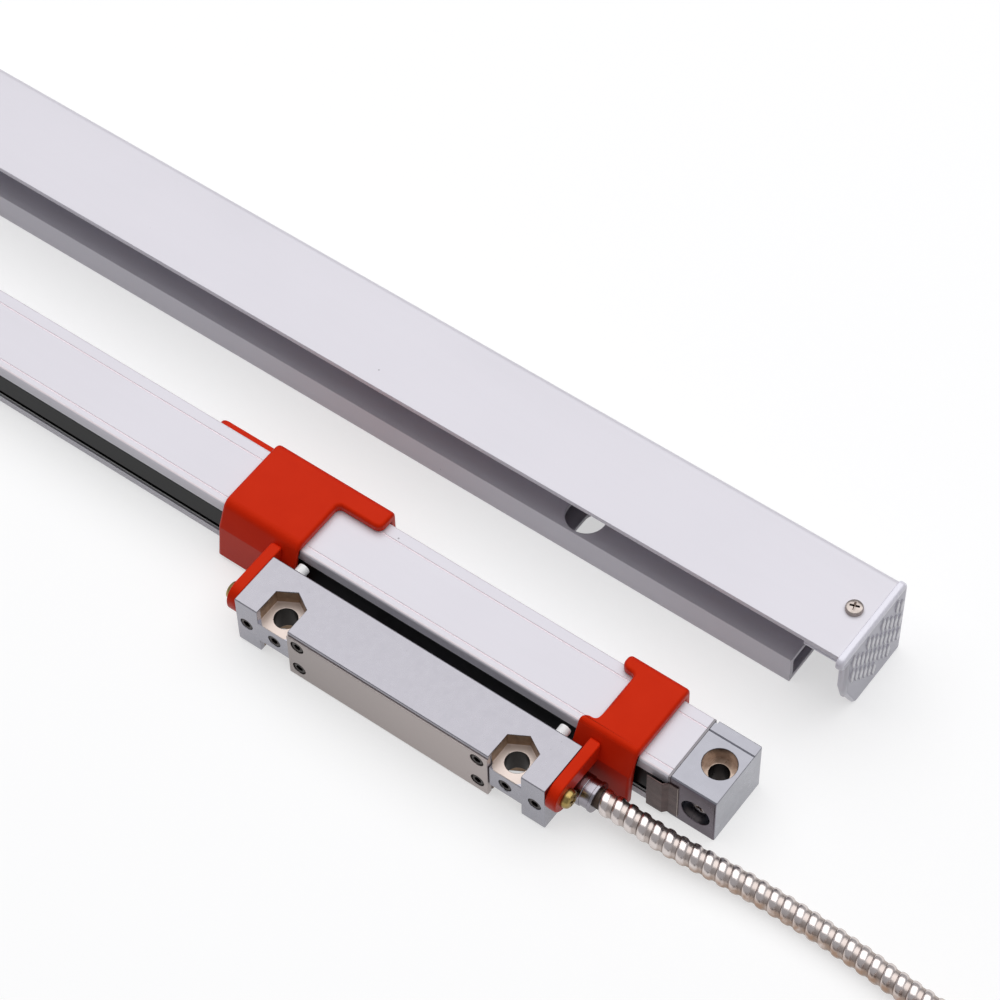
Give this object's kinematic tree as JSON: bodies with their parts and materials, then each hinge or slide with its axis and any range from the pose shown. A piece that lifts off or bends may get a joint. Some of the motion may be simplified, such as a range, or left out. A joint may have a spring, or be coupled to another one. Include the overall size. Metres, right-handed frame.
{
  "type": "linear glass scale",
  "caption": "Sealed linear encoder: slim anodised scale unit, reading head with armoured cable, red transport brackets and a separate mounting rail with roof.",
  "frame": {"origin": "centre of the right end block's mounting hole, on the mounting face", "axes": "+X along the scale towards its right end, +Y away from the reading head, +Z out of the mounting face along the mounting holes"},
  "size_m": [0.5634, 0.1798, 0.0318],
  "materials": {
    "anodised": "fine matt clear anodising",
    "block_metal": "bright, lightly brushed",
    "chromed": "satin chrome",
    "plate_steel": "satin",
    "nickel": "bright nickel",
    "dark_steel": "blackened",
    "spring_steel": "polished",
    "carriage_metal": "dark anodised",
    "scale_glass": "clear, with a fine graduation",
    "reticle_glass": "clear",
    "board": "green board",
    "lip_rubber": "glossy black",
    "gasket_rubber": "matt black",
    "bond_rubber": "translucent",
    "bracket_red": "smooth",
    "brass": "bright",
    "pad_white": "smooth",
    "cap_silver": "silver paint",
    "conduit": null,
    "core_black": "matt",
    "tie_black": "smooth",
    "hood_grey": "metallic grey"
  },
  "bodies": {
    "scale_unit": {"scale_housing": "anodised", "glass_scale": "scale_glass", "glass_bond_strip": "bond_rubber", "upper_lip_seal": "lip_rubber", "lower_lip_seal": "lip_rubber", "right_end_block": "block_metal", "left_end_block": "block_metal", "right_end_gasket": "gasket_rubber", "left_end_gasket": "gasket_rubber", "right_lip_clip": "nickel", "left_lip_clip": "nickel", "block_screws": "nickel", "cover_profile": "anodised", "right_cover_cap": "cap_silver", "left_cover_cap": "cap_silver", "cover_cap_screws": "nickel"},
    "reading_head": {"head_body": "chromed", "cable_gland": "chromed", "head_front_plate": "plate_steel", "connector_face": "nickel", "front_plate_screws": "dark_steel", "head_side_screws": "dark_steel", "blade_screws": "dark_steel", "reader_blade": "spring_steel", "coupling_wire": "spring_steel", "bearing_pins": "spring_steel", "carriage_frame": "carriage_metal", "scanning_reticle": "reticle_glass", "circuit_board": "board", "light_board": "board", "sensor_board": "board", "front_plate_gasket": "gasket_rubber", "left_bracket": "bracket_red", "right_bracket": "bracket_red", "bracket_screws": "brass", "alignment_pads": "pad_white", "cable_conduit": "conduit", "cable_coil": "conduit", "cable_tail": "conduit", "cable_core": "core_black", "coil_tie": "tie_black", "connector_hood": "hood_grey"},
    "face_bearing_left": {"face_bearing_left": "spring_steel"},
    "face_bearing_right": {"face_bearing_right": "spring_steel"},
    "face_bearing_middle": {"face_bearing_middle": "spring_steel"},
    "edge_bearing_left": {"edge_bearing_left": "spring_steel"},
    "edge_bearing_right": {"edge_bearing_right": "spring_steel"},
    "right_thumbscrew": {"right_thumbscrew": "nickel"},
    "left_thumbscrew": {"left_thumbscrew": "nickel"}
  },
  "joints": [
    {"name": "head_slide", "type": "slide", "parent": "scale_unit", "child": "reading_head", "axis": [1, 0, 0], "range_m": [-0.212, 0.002]},
    {"name": "face_bearing_left_roll", "type": "hinge", "parent": "reading_head", "child": "face_bearing_left", "pos_m": [-0.1015, -0.002, 0.01285], "axis": [0, 1, 0], "range_deg": [-6090, 70]},
    {"name": "face_bearing_right_roll", "type": "hinge", "parent": "reading_head", "child": "face_bearing_right", "pos_m": [-0.0605, -0.002, 0.01285], "axis": [0, 1, 0], "range_deg": [-6090, 70]},
    {"name": "face_bearing_middle_roll", "type": "hinge", "parent": "reading_head", "child": "face_bearing_middle", "pos_m": [-0.081, 0.0028, 0.01285], "axis": [0, 1, 0], "range_deg": [-6090, 70]},
    {"name": "edge_bearing_left_roll", "type": "hinge", "parent": "reading_head", "child": "edge_bearing_left", "pos_m": [-0.0965, -0.00545, 0.00995], "axis": [0, 0, 1], "range_deg": [-6090, 70]},
    {"name": "edge_bearing_right_roll", "type": "hinge", "parent": "reading_head", "child": "edge_bearing_right", "pos_m": [-0.0655, -0.00545, 0.00995], "axis": [0, 0, 1], "range_deg": [-6090, 70]},
    {"name": "right_thumbscrew_turn", "type": "hinge", "parent": "reading_head", "child": "right_thumbscrew", "pos_m": [0.032, -0.10875, 0.0075], "axis": [1, 0, 0], "continuous": true},
    {"name": "left_thumbscrew_turn", "type": "hinge", "parent": "reading_head", "child": "left_thumbscrew", "pos_m": [0.032, -0.08375, 0.0075], "axis": [1, 0, 0], "continuous": true}
  ],
  "couplings": [
    {"joint": "face_bearing_left_roll", "follows": "head_slide", "rad_per_m": 500},
    {"joint": "face_bearing_right_roll", "follows": "head_slide", "rad_per_m": 500},
    {"joint": "face_bearing_middle_roll", "follows": "head_slide", "rad_per_m": 500},
    {"joint": "edge_bearing_left_roll", "follows": "head_slide", "rad_per_m": 500},
    {"joint": "edge_bearing_right_roll", "follows": "head_slide", "rad_per_m": 500}
  ]
}
